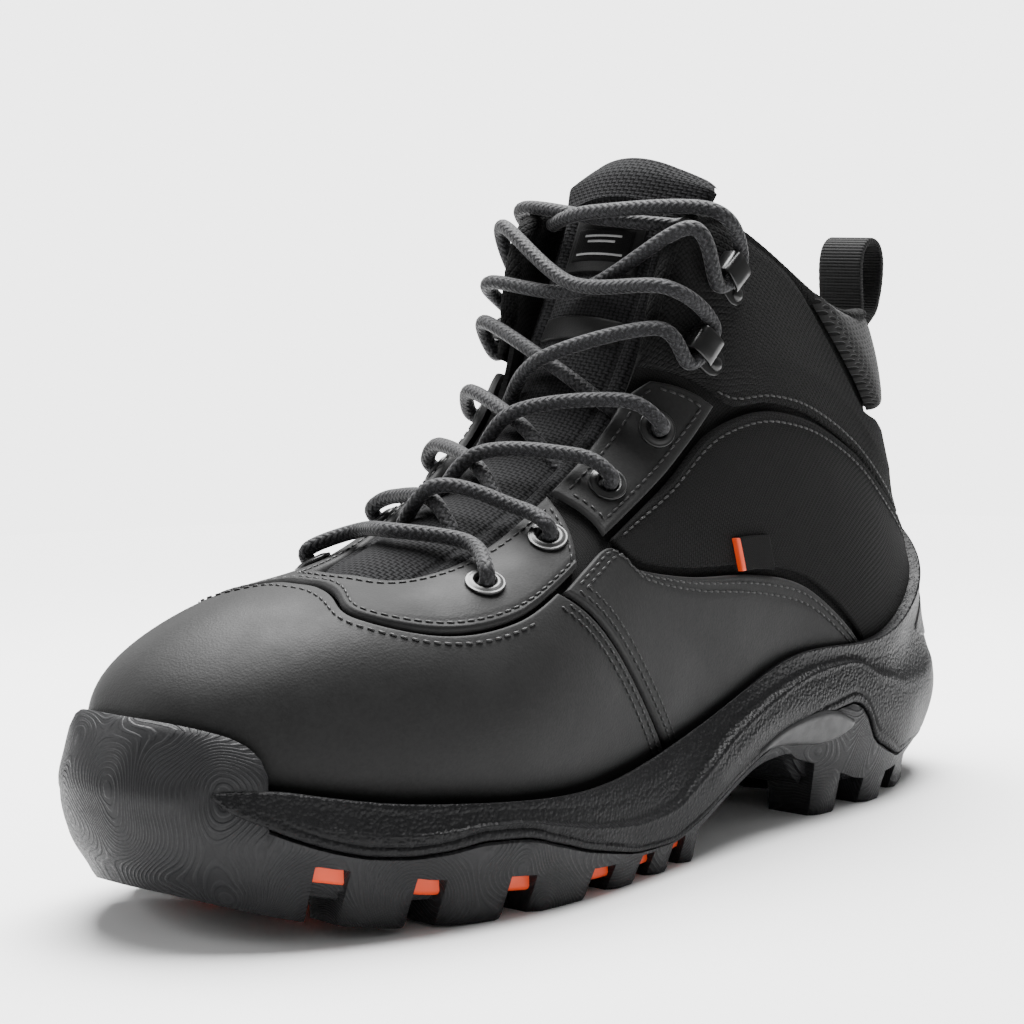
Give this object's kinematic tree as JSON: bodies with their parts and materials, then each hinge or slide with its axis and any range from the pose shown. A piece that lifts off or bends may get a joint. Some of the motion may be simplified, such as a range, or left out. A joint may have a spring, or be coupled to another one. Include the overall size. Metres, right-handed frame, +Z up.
{
  "type": "hiking boot",
  "caption": "Left mid-height lace-up hiking boot with leather and woven upper, padded collar, pull loop, speed hooks, wrapped toe bumper and deep lugged sole.",
  "frame": {"origin": "on the ground under the middle of the boot's bounding box", "axes": "+Z up from the tread, -Y towards the toe, +X towards the outer side of the foot"},
  "size_m": [0.1122, 0.312, 0.191],
  "materials": {
    "leather": "matte nubuck-like finish, fine grain",
    "heel_leather": "smooth black, soft sheen",
    "woven_textile": "fine plain weave",
    "ankle_textile": "coarse basket weave and ribs",
    "tongue_fabric": "coarse basket weave, padded",
    "spacer_mesh": "open knitted spacer mesh, padded",
    "lining_fabric": "soft knit",
    "footbed_fabric": "felted top cloth",
    "webbing": "ribbed woven webbing",
    "tag_textile": "woven label with a bright edge",
    "lace_cord": "round braid",
    "aglet_plastic": "clear-coated black",
    "eyelet_metal": "glossy black enamel",
    "hook_metal": "satin black",
    "midsole_foam": "pebbled moulded foam, matte",
    "outsole_rubber": "matte rubber with fine contour texture",
    "orange_rubber": "smooth moulded rubber",
    "board": "pressed fibre board"
  },
  "bodies": {
    "boot": {"eyelet_outer_1": "eyelet_metal", "eyelet_outer_2": "eyelet_metal", "eyelet_outer_3": "eyelet_metal", "eyelet_outer_4": "eyelet_metal", "hook_outer_1": "hook_metal", "hook_outer_2": "hook_metal", "eyestay_rear_outer": "leather", "quarter_leather_outer": "leather", "quarter_textile_outer": "woven_textile", "ankle_panel_outer": "ankle_textile", "arch_pod_outer": "outsole_rubber", "aglet_outer": "aglet_plastic", "eyelet_inner_1": "eyelet_metal", "eyelet_inner_2": "eyelet_metal", "eyelet_inner_3": "eyelet_metal", "eyelet_inner_4": "eyelet_metal", "hook_inner_1": "hook_metal", "hook_inner_2": "hook_metal", "eyestay_rear_inner": "leather", "quarter_leather_inner": "leather", "quarter_textile_inner": "woven_textile", "ankle_panel_inner": "ankle_textile", "arch_pod_inner": "outsole_rubber", "aglet_inner": "aglet_plastic", "lace": "lace_cord", "lasting_board": "board", "footbed": "footbed_fabric", "lining": "lining_fabric", "vamp": "leather", "eyestay_front": "leather", "backstay": "heel_leather", "collar_mesh": "spacer_mesh", "midsole": "midsole_foam", "outsole": "outsole_rubber", "tread_insert": "orange_rubber", "loop_anchor": "webbing", "side_tag": "tag_textile", "tongue": "tongue_fabric"},
    "tongue_top": {"tongue_flap": "tongue_fabric"},
    "pull_loop": {"pull_loop": "webbing"}
  },
  "joints": [
    {"name": "tongue_flap_hinge", "type": "hinge", "parent": "boot", "child": "tongue_top", "pos_m": [0.0008, 0.034, 0.1795], "axis": [1, 0, 0], "range_deg": [-6, 14]},
    {"name": "pull_loop_hinge", "type": "hinge", "parent": "boot", "child": "pull_loop", "pos_m": [0.0008, 0.1425, 0.1462], "axis": [1, 0, 0], "range_deg": [-40, 25]}
  ]
}
